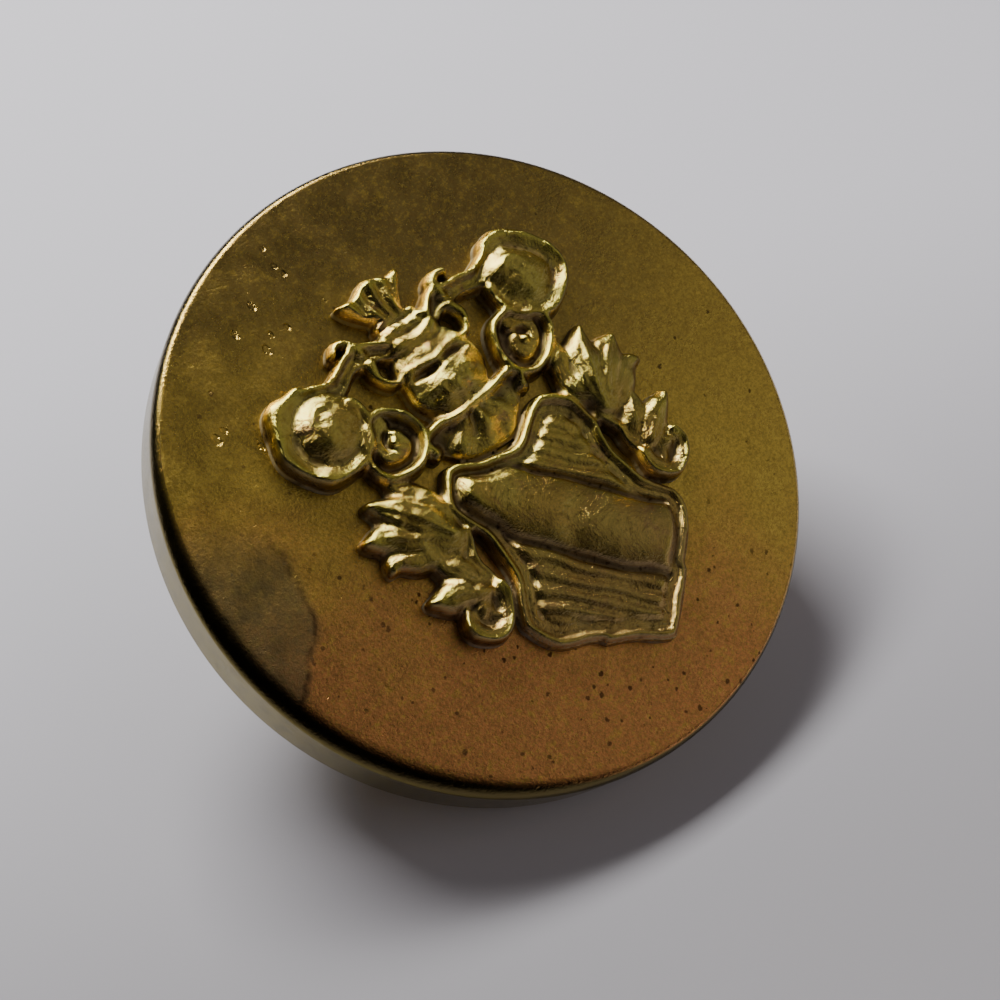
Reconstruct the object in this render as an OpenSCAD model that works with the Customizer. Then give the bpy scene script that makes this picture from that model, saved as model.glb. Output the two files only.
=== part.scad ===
// Shank button with an applied emblem. A drawn face shell is turned in over a dished back
// plate, with a card filler between them. A wire shank is clenched in the back plate, and a
// struck emblem is held on the face by two bent lugs.
// Units are millimetres. +Z is the button's axis, from the back to the face, +Y is the
// emblem's upright direction, and the origin is the centre of the shank's eye.

/* [Shell] */
// Diameter over the side wall
button_dia = 15.4; // [15.2:0.1:17]
// Height from the back of the rim to the flat face
shell_height = 1.85; // [1.7:0.05:2]
// Thickness of the drawn sheet
sheet = 0.25; // [0.22:0.01:0.26]
// Radius of the shoulder between the face and the side wall
shoulder_r = 0.3; // [0.28:0.01:0.4]
// Radius of the edge that is turned in at the back
hem_r = 0.27; // [0.26:0.01:0.35]
// Width of the turned-in edge, from the side wall inwards
hem_width = 0.9; // [0.8:0.05:1.1]

/* [Shank] */
// Radius of the hole through the eye
eye_r = 1.3; // [1.2:0.05:1.35]
// Diameter of the shank's wire
wire_dia = 0.9; // [0.85:0.05:0.9]
// Depth of the flat that is pressed on the inside of the eye
wire_flat = 0.1; // [0.08:0.01:0.12]
// Distance from the eye's centre to the back of the rim
eye_drop = 2.1; // [2.04:0.02:2.4]

/* [Emblem] */
// Distance of the emblem's upright line from the button's axis
emblem_x = 0.15; // [0:0.05:0.2]
// Relief of the highest ornament above the face
relief = 0.8; // [0.7:0.05:0.9]
// Number of level ribs on the shield
rib_count = 13; // [9:2:15]

/* [Hidden] */
$fn = 64;

button_r = button_dia / 2;
rim_z = eye_drop;
face_z = rim_z + shell_height;
inner_r = button_r - sheet;
inner_top_z = face_z - sheet;

// Back plate: an outer land that sits on the turned-in edge, and a dished middle
plate_t = 0.22;
plate_clear = 0.03;
plate_r = inner_r - plate_clear;
plate_land_z = rim_z + sheet;
dish_drop = 0.22;
dish_r = 5.2;
dish_slope = 0.5;
plate_mid_z = plate_land_z - dish_drop;
plate_mid_top_z = plate_mid_z + plate_t;

// Shank: the wire's centre line, and the two feet side by side in the collar
wire_r = wire_dia / 2;
eye_mid_r = eye_r + wire_r - wire_flat;
foot_slit = 0.05;
clench_t = 0.3;
clench_reach = 1.75;

// Collar and washer
barrel_r = 1.06;
barrel_hole_r = 0.91;
collar_r = 1.75;
collar_t = 0.2;
collar_round = 0.09;
barrel_clear = 0.02;
washer_t = 0.2;
washer_r = 2;
clench_z = plate_mid_top_z + washer_t;

// Card filler, and the recess that takes the clenched feet
card_gap = 0.03;
recess_r = 2.15;
recess_z = clench_z + clench_t + 0.03;

// Lugs of the emblem: a strip down through the face, bent flat under it
lug_t = 0.12;
lug_w = 0.8;
lug_reach = 1.3;
slot_clear = 0.04;
lug_y = [2.9, -3.2];

// Emblem: heights above the face
ground_h = 0.2;
base_h = 0.28;
field_h = 0.36;
rib_h = 0.46;
border_h = 0.5;
bend_h = 0.56;

// A point of a cubic curve, and the whole curve as a list of points
function curve_point(a, b, c, d, t) =
    pow(1 - t, 3) * a + 3 * pow(1 - t, 2) * t * b + 3 * (1 - t) * t * t * c + pow(t, 3) * d;
function curve(a, b, c, d, steps = 8) =
    [for (i = [0 : steps]) curve_point(a, b, c, d, i / steps)];

function mirrored(points) = [for (i = [len(points) - 1 : -1 : 0]) [-points[i].x, points[i].y]];

// Right half of the shield's edge, from the middle of the top to the point below. It is
// drawn in by the given distance for the inner edge of the border.
function shield_half(inset = 0) = concat(
    curve([0, -0.02 - inset], [0.6, 0.02 - inset], [1.0, 0.42 - inset], [1.5, 0.46 - inset]),
    curve([1.6, 0.4 - inset], [1.9, 0.2 - inset], [2.2 - inset, -0.1], [2.15 - inset, -0.5]),
    curve([2.1 - inset, -1.0], [1.9 - inset, -1.6], [1.95 - inset, -2.3], [2.35 - inset, -2.9]),
    curve([2.6 - inset, -3.3], [2.6 - inset, -3.9], [2.2 - inset, -4.35], [1.35, -4.72 + inset]),
    [[0, -5.72 + 1.3 * inset]]
);

function shield_points(inset = 0) = concat(shield_half(inset), mirrored(shield_half(inset)));

// A disc in the r-z half plane with both outer edges rounded
module disc_profile(r, low_z, high_z, low_round, high_round) {
    translate([0, low_z + low_round]) square([r, high_z - low_z - low_round - high_round]);
    translate([0, low_z]) square([r - low_round, low_round + 0.01]);
    translate([0, high_z - high_round - 0.01]) square([r - high_round, high_round + 0.01]);
    translate([r - low_round, low_z + low_round]) circle(low_round);
    translate([r - high_round, high_z - high_round]) circle(high_round);
}

module face_shell() {
    color("darkgoldenrod") difference() {
        rotate_extrude($fn = 128) difference() {
            disc_profile(button_r, rim_z, face_z, hem_r, shoulder_r);
            disc_profile(inner_r, rim_z + sheet, inner_top_z, 0.02, shoulder_r - sheet);
            translate([-1, rim_z - 1]) square([button_r - hem_width + 1, sheet + 2]);
            translate([-1, rim_z - 1]) square([1, shell_height + 2]);
        }
        for (y = lug_y) lug_slot(y);
    }
}

// Slot through the face for one lug
module lug_slot(y) {
    slot_w = lug_w + 2 * slot_clear;
    slot_t = lug_t + 2 * slot_clear;
    translate([emblem_x - slot_w / 2, y - slot_t / 2, inner_top_z - 1]) cube([slot_w, slot_t, sheet + 2]);
}

// Points of an arc or a spiral in plan, from one radius and angle to another
function spiral(x, y, from_r, to_r, from_angle, sweep, steps) = [
    for (i = [0 : steps])
        let (t = i / steps, r = from_r + (to_r - from_r) * t, a = from_angle + sweep * t)
            [x + r * cos(a), y + r * sin(a)]
];

// Ornament with sloped sides that follows points in plan and changes its radius from end to
// end. It widens from its narrow crest, above the given height, down to its foot.
module bead_run(points, from_r, to_r, height) {
    last = len(points) - 1;
    for (i = [0 : last - 1]) hull() {
        bead(points[i], from_r + (to_r - from_r) * i / last, height);
        bead(points[i + 1], from_r + (to_r - from_r) * (i + 1) / last, height);
    }
}

module bead(place, r, height) {
    translate([place.x, place.y, 0]) cylinder(r1 = r, r2 = 0.45 * r, h = height + 0.8 * r, $fn = 8);
}

// Dome of a sphere that stands a given height above its flat foot
module dome(x, y, foot_r, height) {
    ball_r = (foot_r * foot_r + height * height) / (2 * height);
    translate([x, y, 0]) rotate_extrude($fn = 24) intersection() {
        translate([0, height - ball_r]) circle(ball_r, $fn = 32);
        square([foot_r, height]);
    }
}

// Fan of leaf lobes that spread from one root to their tips
module leaf_fan(root, tips, lobe_r) {
    for (tip = tips) {
        middle = (root + 1.4 * tip) / 2.4;
        hull() {
            bead(root, 0.6 * lobe_r, base_h);
            bead(middle, lobe_r, base_h);
            bead(tip, 0.35 * lobe_r, base_h);
        }
    }
}

// Scrollwork on one side, from the helm outwards and down to the foot of the shield
upper_scroll = [3.15, 2.72];
inner_scroll = [2.12, 1.58];
foot_scroll = [3.1, -2.45];
upper_leaf_root = [2.3, -0.8];
upper_leaf_tips = [[2.75, 0.95], [3.5, 0.85], [4.05, 0.35], [4.12, -0.35]];
lower_leaf_root = [2.6, -2.0];
lower_leaf_tips = [[3.2, -0.85], [3.85, -1.05], [4.0, -1.65]];

module scrollwork() {
    arm = curve([0.4, 3.2], [1.2, 4.1], [2.2, 3.1], [2.95, 3.72], 5);
    bead_run(arm, 0.24, 0.27, base_h);
    bead_run([[1.35, 3.5], [1.5, 3.85], [1.85, 4]], 0.2, 0.1, base_h);
    bead_run([[2.9, 3.7], [3.3, 3.98], [3.75, 3.95]], 0.24, 0.12, base_h);
    bead_run(spiral(upper_scroll.x, upper_scroll.y, 0.92, 0.73, 97, -283, 10), 0.27, 0.22, base_h + 0.04);
    dome(upper_scroll.x, upper_scroll.y, 0.55, 0.74);
    bead_run(spiral(inner_scroll.x, inner_scroll.y, 0.68, 0.6, 70, -330, 10), 0.25, 0.2, base_h);
    dome(inner_scroll.x, inner_scroll.y, 0.42, 0.58);
    bead_run([[1.15, 3.3], [1.35, 2.75], [1.6, 2.3]], 0.22, 0.2, base_h);
    leaf_fan(upper_leaf_root, upper_leaf_tips, 0.4);
    leaf_fan(lower_leaf_root, lower_leaf_tips, 0.34);
    bead_run(spiral(foot_scroll.x, foot_scroll.y, 0.55, 0.5, 150, 230, 6), 0.27, 0.25, base_h);
    dome(foot_scroll.x, foot_scroll.y, 0.4, 0.5);
    // Thin ground that ties the leaves and scrolls together
    linear_extrude(ground_h) polygon([
        [1.2, 2.2], [2.4, 2.65], [2.95, 2.5], [2.7, 1.5], [2.2, 1.2], [1.6, 0.4], [2.1, -0.2],
        [3.4, 0.2], [3.5, -0.9], [3.2, -1.6], [3.4, -2.5], [2.4, -2.9], [1.9, -1.6], [1.2, 0.4]
    ]);
}

// Crest: a fluted fan on a banded neck
crest_foot_y = 3.2;
crest_top_y = 4.95;
flutes = 5;
flute_angle = 13;

module crest() {
    for (i = [0 : flutes - 1]) {
        lean = flute_angle * (i - (flutes - 1) / 2);
        reach = (crest_top_y - crest_foot_y - 0.6) / cos(lean) - 0.14;
        translate([0.1 * (i - (flutes - 1) / 2), crest_foot_y + 0.6]) rotate(-lean)
            bead_run([[0, 0], [0, 0.5 * reach], [0, reach]], 0.2, 0.24, base_h);
    }
    for (k = [0 : 2])
        bead_run([[-0.42, crest_foot_y + 0.2 + 0.24 * k], [0.42, crest_foot_y + 0.2 + 0.24 * k]],
            0.17, 0.17, base_h + 0.08);
}

// Helm: a domed barrel with a sight slit, and a crescent neck guard below it
helm_y = 2.25;
helm_r = 1.15;
guard_y = 1.2;
guard_r = 1.42;
guard_thick = 0.22;

module helm() {
    difference() {
        dome(0, helm_y, helm_r, relief);
        translate([-0.8, helm_y + 0.1, relief - 0.16]) cube([1.6, 0.14, 1]);
        translate([-0.07, helm_y - 0.8, relief - 0.14]) cube([0.14, 0.9, 1]);
    }
    bead_run([[-guard_r, guard_y - 0.25], [-guard_r + 0.15, guard_y], [guard_r - 0.15, guard_y],
        [guard_r, guard_y - 0.25]], guard_thick, guard_thick, base_h + 0.06);
    intersection() {
        dome(0, guard_y + 0.1, guard_r, base_h + 0.3);
        translate([-2, guard_y - 2, 0]) cube([4, 2, 1]);
    }
}

// Shield: a raised border round a ribbed field, with one broad domed bend across it
border_w = 0.3;
bend_w = 1.3;
bend_angle = 38;
bend_mid = [0, -2.1];
rib_pitch = 0.42;

module shield() {
    linear_extrude(field_h) polygon(shield_points());
    linear_extrude(border_h) difference() {
        polygon(shield_points());
        polygon(shield_points(border_w));
    }
    intersection() {
        linear_extrude(relief) polygon(shield_points(border_w - 0.02));
        union() {
            for (i = [0 : rib_count - 1])
                translate([-3, bend_mid.y + rib_pitch * (i - (rib_count - 1) / 2) - rib_pitch / 4, 0])
                    cube([6, rib_pitch / 2, rib_h]);
            translate(concat(bend_mid, [bend_h - bend_w])) rotate([0, 90, bend_angle - 90])
                cylinder(r = bend_w, h = 9, center = true, $fn = 48);
        }
    }
}

module emblem() {
    color("gold") translate([emblem_x, 0, face_z]) intersection() {
        union() {
            shield();
            helm();
            crest();
            for (side = [0, 1]) mirror([side, 0, 0]) scrollwork();
        }
        translate([-6, -7, 0]) cube([12, 14, relief]);
    }
}

// One lug: it hangs from the emblem's underside and is bent flat towards the middle
module lug(y, towards) {
    bend_z = inner_top_z - lug_t;
    translate([emblem_x - lug_w / 2, y, 0]) {
        translate([0, -lug_t / 2, bend_z]) cube([lug_w, lug_t, face_z - bend_z]);
        translate([0, towards > 0 ? -lug_t / 2 : lug_t / 2 - lug_reach, bend_z])
            cube([lug_w, lug_reach, lug_t]);
    }
}

module emblem_lug_upper() {
    color("peru") lug(lug_y[0], -1);
}

module emblem_lug_lower() {
    color("peru") lug(lug_y[1], 1);
}

module filler_disc() {
    low_z = plate_land_z + plate_t + card_gap;
    pocket_z = inner_top_z - lug_t - card_gap;
    color("tan") difference() {
        translate([0, 0, low_z])
            cylinder(r = inner_r - card_gap, h = inner_top_z - card_gap - low_z, $fn = 128);
        translate([0, 0, low_z - 1]) cylinder(r = recess_r, h = recess_z - low_z + 1);
        for (i = [0, 1]) {
            towards = i == 0 ? -1 : 1;
            mid_y = lug_y[i] + towards * (lug_reach / 2 - lug_t / 2);
            translate([emblem_x - lug_w / 2 - card_gap, mid_y - lug_reach / 2 - card_gap, pocket_z])
                cube([lug_w + 2 * card_gap, lug_reach + 2 * card_gap, 1]);
        }
    }
}

module back_plate() {
    hole_r = barrel_r + barrel_clear;
    color("goldenrod") rotate_extrude($fn = 128) polygon([
        [hole_r, plate_mid_z],
        [dish_r, plate_mid_z],
        [dish_r + dish_slope, plate_land_z],
        [plate_r, plate_land_z],
        [plate_r, plate_land_z + plate_t],
        [dish_r + dish_slope, plate_land_z + plate_t],
        [dish_r, plate_mid_top_z],
        [hole_r, plate_mid_top_z]
    ]);
}

// Shank: a round eye that is flat on its inside, and two feet that are clenched outwards
foot_r = 0.42;
foot_y = 0.46;
foot_start_z = 1.36;

module shank_loop() {
    color("goldenrod") difference() {
        union() {
            rotate([0, 90, 0]) rotate_extrude($fn = 96) difference() {
                translate([eye_mid_r, 0]) circle(wire_r);
                translate([0, -1]) square([eye_r, 2]);
            }
            for (side = [-1, 1]) {
                translate([0, side * foot_y, foot_start_z])
                    cylinder(r = foot_r, h = clench_z + clench_t - foot_start_z);
                translate([0, 0, clench_z]) linear_extrude(clench_t) clenched_foot(side);
            }
        }
        translate([-1, -foot_slit / 2, foot_start_z - 0.3]) cube([2, foot_slit, 3]);
    }
}

// Plan of one flattened foot, lying on the washer
module clenched_foot(side) {
    mirror([0, side < 0 ? 1 : 0]) {
        translate([-foot_r, 0.01]) square([2 * foot_r, clench_reach - foot_r]);
        translate([0, clench_reach - foot_r]) circle(foot_r);
    }
}

module shank_collar() {
    color("darkgoldenrod") difference() {
        rotate_extrude() {
            disc_profile(collar_r, plate_mid_z - collar_t, plate_mid_z, collar_round, 0.02);
            translate([0, plate_mid_z - 0.1]) square([barrel_r, clench_z - plate_mid_z + 0.1]);
        }
        translate([0, 0, 1]) cylinder(r = barrel_hole_r, h = 3);
    }
}

module anchor_washer() {
    color("silver") translate([0, 0, plate_mid_top_z]) difference() {
        cylinder(r = washer_r, h = washer_t);
        translate([0, 0, -1]) cylinder(r = barrel_r + barrel_clear, h = washer_t + 2);
    }
}

face_shell();
emblem();
emblem_lug_upper();
emblem_lug_lower();
filler_disc();
back_plate();
shank_loop();
shank_collar();
anchor_washer();
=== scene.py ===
"""Looks of the shank button badge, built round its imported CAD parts."""

import math

import bmesh
import bpy
import numpy as np
from mathutils import Matrix, Vector


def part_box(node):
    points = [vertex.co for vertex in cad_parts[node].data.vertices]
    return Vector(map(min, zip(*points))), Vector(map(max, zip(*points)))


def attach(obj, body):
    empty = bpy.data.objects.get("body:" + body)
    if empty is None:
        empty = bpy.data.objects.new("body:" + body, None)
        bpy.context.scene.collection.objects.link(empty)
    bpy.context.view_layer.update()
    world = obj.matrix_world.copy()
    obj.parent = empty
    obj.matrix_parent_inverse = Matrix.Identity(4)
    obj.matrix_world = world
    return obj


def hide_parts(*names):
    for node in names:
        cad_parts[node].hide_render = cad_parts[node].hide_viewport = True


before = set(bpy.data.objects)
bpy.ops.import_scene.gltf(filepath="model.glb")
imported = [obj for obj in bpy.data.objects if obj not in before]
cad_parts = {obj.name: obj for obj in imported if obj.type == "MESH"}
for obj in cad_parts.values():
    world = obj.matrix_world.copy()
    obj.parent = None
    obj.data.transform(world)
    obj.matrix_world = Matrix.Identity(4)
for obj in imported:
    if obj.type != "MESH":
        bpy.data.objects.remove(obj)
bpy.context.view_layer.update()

MM = 0.001
BODY = "root"

# ---- sizes, in millimetres
shell_lo, shell_hi = (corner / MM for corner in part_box("face_shell"))
plate_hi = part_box("back_plate")[1] / MM
collar_lo, collar_hi = (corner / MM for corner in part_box("shank_collar"))
loop_lo, loop_hi = (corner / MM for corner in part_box("shank_loop"))
emblem_lo, emblem_hi = (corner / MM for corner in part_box("emblem"))

# Shell: sheet, shoulder, which is wide on the worn side only, and turned-in hem.
BUTTON_R = shell_hi.x
FACE_Z = shell_hi.z
RIM_Z = shell_lo.z
SHEET = 0.25
SHOULDER_R = 0.3
SHOULDER_WIDTH = 0.58
FRESH_WIDTH = 0.22
WORN_SIDE = Vector((-0.97, -0.24))
WORN_ARC = math.radians(46)
HEM_R = 0.27
HEM_WIDTH = 0.9
CREASE_R = 0.04

# Dished back and eyelet.
PLATE_T = 0.22
PLATE_DISH = 0.22
DISH_R = 5.2
DISH_SLOPE = 0.5
BARREL_R = 1.06
BARREL_HOLE_R = 0.91

# Wire: round eye, straight feet, flat ends bent outwards.
EYE_R = 1.3
WIRE_R = 0.45
EYE_MID_R = loop_hi.y - WIRE_R
FOOT_Y = 0.46
FOOT_Z = (2.05, 2.3)
BEND_R = 0.22
CLENCH_Z = 2.55
CLENCH_Y = (1.1, 1.5, 1.68)

# Lugs and their slots.
LUG_T = 0.12
SLOT_GAP = 0.04

# Emblem.
EMBLEM_X = 0.15
RELIEF = emblem_hi.z - emblem_lo.z
WALL_H = 0.24
FOOT_SPREAD = 0.02

# ---- floor and camera
# The button leans on its rim and on the end of its shank, so the floor is a tilted plane here.
FLOOR_NORMAL = Vector((0.0947, 0.5077, 0.8563)).normalized()
EYE_SPAN = math.hypot(FLOOR_NORMAL.y, FLOOR_NORMAL.z)
FLOOR_OFFSET = -(EYE_MID_R * EYE_SPAN + WIRE_R)
CAMERA_PLACE = Vector((-16.968, -1.233, FACE_Z + 33.533))
CAMERA_FORWARD = Vector((0.4362, 0.0112, -0.8998)).normalized()
LENS = 60.1
SENSOR = 36.0
FLOOR_HALF = 170
FLOOR_DIMS_TOWARDS = (-0.42, -0.91, 0)
FLOOR_DIMS_OVER = (-10.0, 12.0)


def link(name, data):
    """Adds an object with that data to the scene."""
    thing = bpy.data.objects.new(name, data)
    bpy.context.collection.objects.link(thing)
    return thing


def make_camera():
    """Camera of the photograph, upright over the floor."""
    data = bpy.data.cameras.new("camera")
    data.lens = LENS
    data.sensor_width = SENSOR
    data.clip_start = 0.001
    data.clip_end = 10
    camera = link("camera", data)
    right = CAMERA_FORWARD.cross(FLOOR_NORMAL).normalized()
    up = right.cross(CAMERA_FORWARD)
    turn = Matrix((right, up, -CAMERA_FORWARD)).transposed()
    camera.matrix_world = Matrix.Translation(CAMERA_PLACE * MM) @ turn.to_4x4()
    bpy.context.scene.camera = camera


# ---- mesh helpers
def add_object(name, mesh, smooth=True):
    mesh.validate()
    if smooth:
        mesh.shade_smooth()
    return link(name, mesh)


def mend(mesh):
    """Turns all faces of a closed mesh outwards."""
    work = bmesh.new()
    work.from_mesh(mesh)
    bmesh.ops.recalc_face_normals(work, faces=work.faces)
    work.to_mesh(mesh)
    work.free()


def arc(centre, radius, start, end, steps, stretch=1.0):
    """Points of an arc in the (r, z) half plane, angles in degrees, stretched along r."""
    angles = np.radians(np.linspace(start, end, steps + 1))
    x, y = centre
    return [(x + radius * stretch * math.cos(a), y + radius * math.sin(a)) for a in angles]


def new_mesh(name, verts, faces):
    mesh = bpy.data.meshes.new(name)
    mesh.from_pydata(verts, [], faces)
    return mesh


def lathe(name, profile, segments):
    """Closed solid of revolution round Z. The profile runs once round the section, in mm."""
    profile = np.array(profile)
    on_axis = profile[:, 0] < 1e-6
    turn = np.linspace(0, 2 * math.pi, segments, endpoint=False)
    verts, rings = [], []
    for (r, z), centre in zip(profile, on_axis):
        first = len(verts)
        if centre:
            verts.append((0, 0, z * MM))
            rings.append([first] * segments)
        else:
            verts.extend((r * math.cos(t) * MM, r * math.sin(t) * MM, z * MM) for t in turn)
            rings.append(list(range(first, first + segments)))
    faces = []
    for i, low in enumerate(rings):
        j = (i + 1) % len(rings)
        high = rings[j]
        if on_axis[i] and on_axis[j]:
            continue
        for k in range(segments):
            n = (k + 1) % segments
            corners = [low[k], low[n], high[n], high[k]]
            faces.append(list(dict.fromkeys(corners)))
    mesh = new_mesh(name, verts, faces)
    mend(mesh)
    return add_object(name, mesh)


# ---- the emblem's relief
# The relief is a height field over a fine grid, in mm, measured from the emblem's upright line
# and from the face. Every ornament raises the height and widens the outline.
GRID = 0.0365
GRID_LO = (-4.55, -6.0)
GRID_HI = (4.55, 5.25)
FAR = 9.0
BLEND = 0.035
EDGE_REACH = 0.02
grid_x, grid_y = (np.arange(low, high, GRID) for low, high in zip(GRID_LO, GRID_HI))
plan_x, plan_y = np.meshgrid(grid_x, grid_y, indexing="ij")
warp_x = plan_x + 0.05 * np.sin(1.7 * plan_y + 0.6) + 0.03 * np.sin(4.9 * plan_y + 1.3 * plan_x)
warp_y = plan_y + 0.05 * np.sin(1.4 * plan_x + 1.1) + 0.03 * np.sin(5.3 * plan_x - 1.7 * plan_y)
height = np.zeros_like(plan_x)
outline = np.full_like(plan_x, FAR)


def soft_max(a, b, width):
    """The larger of two heights, blended where they differ by less than the width."""
    mix = np.clip(0.5 + 0.5 * (a - b) / width, 0, 1)
    return b + (a - b) * mix + width * mix * (1 - mix)


def soft_step(value, low, high):
    """0 at low, 1 at high and smooth between them."""
    t = np.clip((value - low) / (high - low), 0, 1)
    return t * t * (3 - 2 * t)


def window(points, reach):
    """Index ranges of the grid that lie within reach of the points."""
    points = np.array(points)
    low, high = points.min(0) - reach, points.max(0) + reach
    xs = slice(*np.searchsorted(grid_x, [low[0], high[0]]))
    ys = slice(*np.searchsorted(grid_y, [low[1], high[1]]))
    return xs, ys


def raise_to(area, new_height, distance, blend=BLEND):
    """Adds one ornament: its height over the area, and its distance outside its own edge."""
    lifted = soft_max(height[area], new_height, blend)
    height[area] = np.where(distance < EDGE_REACH, lifted, height[area])
    outline[area] = np.minimum(outline[area], distance)


def dome(share, power=1):
    """Round section: 1 on the middle line, 0 from a share of 1 outwards."""
    return np.clip(1 - share ** 2, 0, 1) ** power


def smooth_line(points, per_span=8):
    """A smooth curve through the points, which may carry a radius as a third number."""
    p = np.array(points, float)
    p = np.vstack([2 * p[0] - p[1], p, 2 * p[-1] - p[-2]])
    out = []
    for i in range(1, len(p) - 2):
        for t in np.linspace(0, 1, per_span, endpoint=False):
            a = 2 * p[i] + (p[i + 1] - p[i - 1]) * t
            b = (2 * p[i - 1] - 5 * p[i] + 4 * p[i + 1] - p[i + 2]) * t * t
            c = (3 * p[i] - p[i - 1] - 3 * p[i + 1] + p[i + 2]) * t ** 3
            out.append(0.5 * (a + b + c))
    out.append(p[-2])
    return np.array(out)


def spiral(centre, start_r, end_r, start, sweep, start_w, end_w, steps=28):
    """A spiral that carries its half width as a third number. Angles in degrees."""
    t = np.linspace(0, 1, steps + 1)
    radius = start_r + (end_r - start_r) * t
    angle = np.radians(start + sweep * t)
    width = start_w + (end_w - start_w) * t
    x, y = centre[0] + radius * np.cos(angle), centre[1] + radius * np.sin(angle)
    return np.stack([x, y, width], 1)


def across(line, side):
    """The window round a line and, for its grid points, the distance as a share of the half
    width, the half width, the share of the length and the side of the line, 1 or -1."""
    line = np.array(line, float)
    line[:, 0] *= side
    area = window(line[:, :2], line[:, 2].max() + 0.25)
    x, y = warp_x[area], warp_y[area]
    best = np.full(x.shape, 1e9)
    half, along, hand = np.ones(x.shape), np.zeros(x.shape), np.zeros(x.shape)
    spans = np.hypot(*np.diff(line[:, :2], axis=0).T)
    length = np.concatenate([[0], np.cumsum(spans)])
    for i, span in enumerate(spans):
        if span < 1e-6:
            continue
        ax, ay, ar = line[i]
        bx, by, br = line[i + 1]
        t = np.clip(((x - ax) * (bx - ax) + (y - ay) * (by - ay)) / span ** 2, 0, 1)
        r = ar + (br - ar) * t
        dx, dy = x - ax - t * (bx - ax), y - ay - t * (by - ay)
        share = np.hypot(dx, dy) / r
        closer = share < best
        best[closer] = share[closer]
        half[closer] = r[closer]
        along[closer] = (length[i] + t * span)[closer]
        hand[closer] = (side * np.sign((bx - ax) * dy - (by - ay) * dx))[closer]
    return area, best, half, along / length[-1], hand


def round_bar(line, top, side=1, foot=WALL_H, power=0.5):
    """Ornament with a round section."""
    area, share, half = across(line, side)[:3]
    raise_to(area, foot + (top - foot) * dome(share, power), (share - 1) * half)


def ribbon(line, top, side=1, groove=0.4, lean=0.0):
    """Ornament with a raised lip along both edges and a groove between them."""
    area, share, half, _, hand = across(line, side)
    envelope = np.clip(1 - share ** 4, 0, 1) ** 0.5
    hollow = 1 - groove * dome(share / 0.62, 0.8)
    tilt = 1 + lean * hand * share
    raise_to(area, WALL_H + (top - WALL_H) * envelope * hollow * tilt, (share - 1) * half)


def lobe(line, top, side=1, flutes=2, depth=0.12):
    """Leaf lobe: a swelling that rises and falls along its length, with fine flutes."""
    area, share, half, along, hand = across(line, side)
    body = dome(share, 0.55)
    swell = 0.7 + 0.3 * np.sin(math.pi * np.clip(along * 0.85 + 0.15, 0, 1))
    comb = 1 - depth * (0.5 - 0.5 * np.cos(2 * math.pi * flutes * hand * share))
    raise_to(area, WALL_H + (top - WALL_H) * body * swell * comb, (share - 1) * half)


def ball(x, y, radius, top, side=1, flat=0.5):
    """Round boss. A smaller flat makes its top flatter and its flank steeper."""
    area = window([(side * x, y)], radius + 0.2)
    share = np.hypot(warp_x[area] - side * x, warp_y[area] - y) / radius
    raise_to(area, WALL_H + (top - WALL_H) * dome(share, flat), (share - 1) * radius)


def polygon_distance(points, x, y):
    """Distance to a closed outline, negative inside."""
    points = np.array(points)
    best = np.full(x.shape, 1e9)
    inside = np.zeros(x.shape, bool)
    for (ax, ay), (bx, by) in zip(points, np.roll(points, -1, axis=0)):
        span2 = (bx - ax) ** 2 + (by - ay) ** 2
        t = np.clip(((x - ax) * (bx - ax) + (y - ay) * (by - ay)) / span2, 0, 1)
        best = np.minimum(best, np.hypot(x - ax - t * (bx - ax), y - ay - t * (by - ay)))
        crosses = ((ay > y) != (by > y)) & (x < (bx - ax) * (y - ay) / (by - ay + 1e-12) + ax)
        inside ^= crosses
    return np.where(inside, -best, best)


def bezier(a, b, c, d, steps=10):
    """Points of a cubic curve with ends a and d and handles b and c."""
    t = np.linspace(0, 1, steps + 1)[:, None]
    a, b, c, d = (np.array(p, float) for p in (a, b, c, d))
    return (1 - t) ** 3 * a + 3 * (1 - t) ** 2 * t * b + 3 * (1 - t) * t * t * c + t ** 3 * d


def shield_outline():
    """The shield's right half, from the top down, and its mirror image."""
    half = np.vstack([
        bezier((0, -0.02), (0.6, 0.02), (1.0, 0.42), (1.5, 0.46)),
        bezier((1.6, 0.4), (1.9, 0.2), (2.2, -0.1), (2.15, -0.5)),
        bezier((2.1, -1.0), (1.9, -1.6), (1.95, -2.3), (2.35, -2.9)),
        bezier((2.6, -3.3), (2.6, -3.9), (2.2, -4.35), (1.4, -4.66)),
        [(1.36, -4.8), (0, -5.72)],
    ])
    other = half[::-1] * (-1, 1)
    return np.vstack([half, other[1:-1]])


BORDER_WIDTH = 0.3
BEND_MIDDLE = (0.05, -2.15)
BEND_ANGLE = 52
BEND_HALF = 0.86
RIB_PITCH = 0.36


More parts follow.
